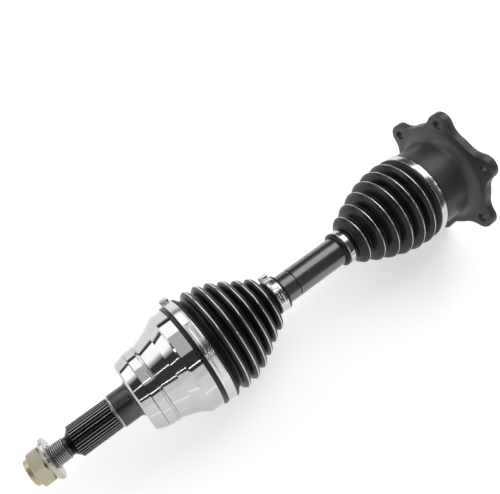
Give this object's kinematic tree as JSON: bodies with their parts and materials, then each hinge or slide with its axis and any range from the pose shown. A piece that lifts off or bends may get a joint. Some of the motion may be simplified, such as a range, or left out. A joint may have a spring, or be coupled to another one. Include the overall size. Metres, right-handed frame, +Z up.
{
  "type": "cv axle",
  "caption": "Front-wheel half shaft: lobed inner flange and tripod joint, plain bar, and an outer ball joint with a splined, threaded stub, under two ribbed boots.",
  "frame": {"origin": "centre of the inner flange's mounting face", "axes": "+X along the shaft from the inner flange to the wheel nut, +Z up, with two lobes of the flange down"},
  "size_m": [0.5809, 0.172, 0.1526],
  "materials": {
    "forged_black": "satin black over forged steel",
    "cap_steel": "plain pressed steel",
    "bearing_steel": "ground and polished",
    "ground_steel": "ground",
    "spring_steel": "phosphated",
    "boot_rubber": "glossy moulded rubber",
    "band_steel": "polished stainless band",
    "bar_paint": "gloss black",
    "machined_steel": "bright turned steel",
    "washer_zinc": "clear zinc",
    "nut_gold_zinc": "yellow passivated zinc"
  },
  "bodies": {
    "inner_housing": {"inner_housing": "forged_black", "housing_end_cap": "cap_steel", "inner_large_clamp": "band_steel", "inner_boot": "boot_rubber"},
    "roller_carriage": {"needles_a": "bearing_steel"},
    "roller_a_ring": {"roller_a": "bearing_steel"},
    "roller_b_ring": {"roller_b": "bearing_steel"},
    "roller_c_ring": {"roller_c": "bearing_steel"},
    "shaft": {"tripod_spider": "ground_steel", "roller_clip_a": "spring_steel", "roller_clip_b": "spring_steel", "roller_clip_c": "spring_steel", "needles_b": "bearing_steel", "needles_c": "bearing_steel", "spider_ring_inboard": "spring_steel", "spider_ring_outboard": "spring_steel", "shaft_bar": "bar_paint", "inner_race": "ground_steel", "race_ring": "spring_steel", "outer_small_clamp": "band_steel", "inner_small_clamp": "band_steel", "outer_boot": "boot_rubber"},
    "pivot_ball_low": {"ball_4": "bearing_steel"},
    "cage": {"ball_cage": "ground_steel", "ball_2": "bearing_steel", "ball_3": "bearing_steel", "ball_5": "bearing_steel", "ball_6": "bearing_steel"},
    "pivot_ball_high": {"ball_1": "bearing_steel"},
    "wheel_end": {"outer_race": "machined_steel", "outer_large_clamp": "band_steel"},
    "washer": {"nut_washer": "washer_zinc"},
    "nut": {"axle_nut": "nut_gold_zinc"}
  },
  "joints": [
    {"name": "plunge", "type": "slide", "parent": "inner_housing", "child": "roller_carriage", "axis": [1, 0, 0], "range_m": [-0.012, 0.012], "deforming": ["inner_boot"]},
    {"name": "inner_tilt", "type": "hinge", "parent": "roller_carriage", "child": "shaft", "pos_m": [0.044, 0, 0], "axis": [0, 1, 0], "range_deg": [-15, 15], "deforming": ["inner_boot"]},
    {"name": "roller_a_spin", "type": "hinge", "parent": "roller_carriage", "child": "roller_a_ring", "pos_m": [0.044, 0, 0], "axis": [0, 1, 0], "continuous": true},
    {"name": "roller_b_spin", "type": "hinge", "parent": "shaft", "child": "roller_b_ring", "pos_m": [0.044, 0, 0], "axis": [0, -0.5, 0.866], "continuous": true},
    {"name": "roller_c_spin", "type": "hinge", "parent": "shaft", "child": "roller_c_ring", "pos_m": [0.044, 0, 0], "axis": [0, -0.5, -0.866], "continuous": true},
    {"name": "outer_bump", "type": "hinge", "parent": "shaft", "child": "pivot_ball_low", "pos_m": [0.399, 0, 0], "axis": [0, 1, 0], "range_deg": [-6, 6], "deforming": ["outer_boot"]},
    {"name": "outer_steer", "type": "hinge", "parent": "pivot_ball_low", "child": "cage", "pos_m": [0.399, 0, 0], "axis": [0, 0, 1], "range_deg": [-18, 18], "deforming": ["outer_boot"]},
    {"name": "outer_steer_bell", "type": "hinge", "parent": "cage", "child": "pivot_ball_high", "pos_m": [0.399, 0, 0], "axis": [0, 0, 1], "range_deg": [-18, 18], "deforming": ["outer_boot"]},
    {"name": "outer_bump_bell", "type": "hinge", "parent": "pivot_ball_high", "child": "wheel_end", "pos_m": [0.399, 0, 0], "axis": [0, 1, 0], "range_deg": [-6, 6], "deforming": ["outer_boot"]},
    {"name": "nut_travel", "type": "slide", "parent": "wheel_end", "child": "washer", "axis": [1, 0, 0], "range_m": [-0.0121, 0.0161]},
    {"name": "nut_turn", "type": "hinge", "parent": "washer", "child": "nut", "pos_m": [0.565, 0, 0], "axis": [1, 0, 0], "range_deg": [-2160, 2880]}
  ],
  "couplings": [
    {"joint": "outer_steer_bell", "follows": "outer_steer", "ratio": 1},
    {"joint": "outer_bump_bell", "follows": "outer_bump", "ratio": 1},
    {"joint": "nut_travel", "follows": "nut_turn", "m_per_rad": 0.00031831}
  ]
}
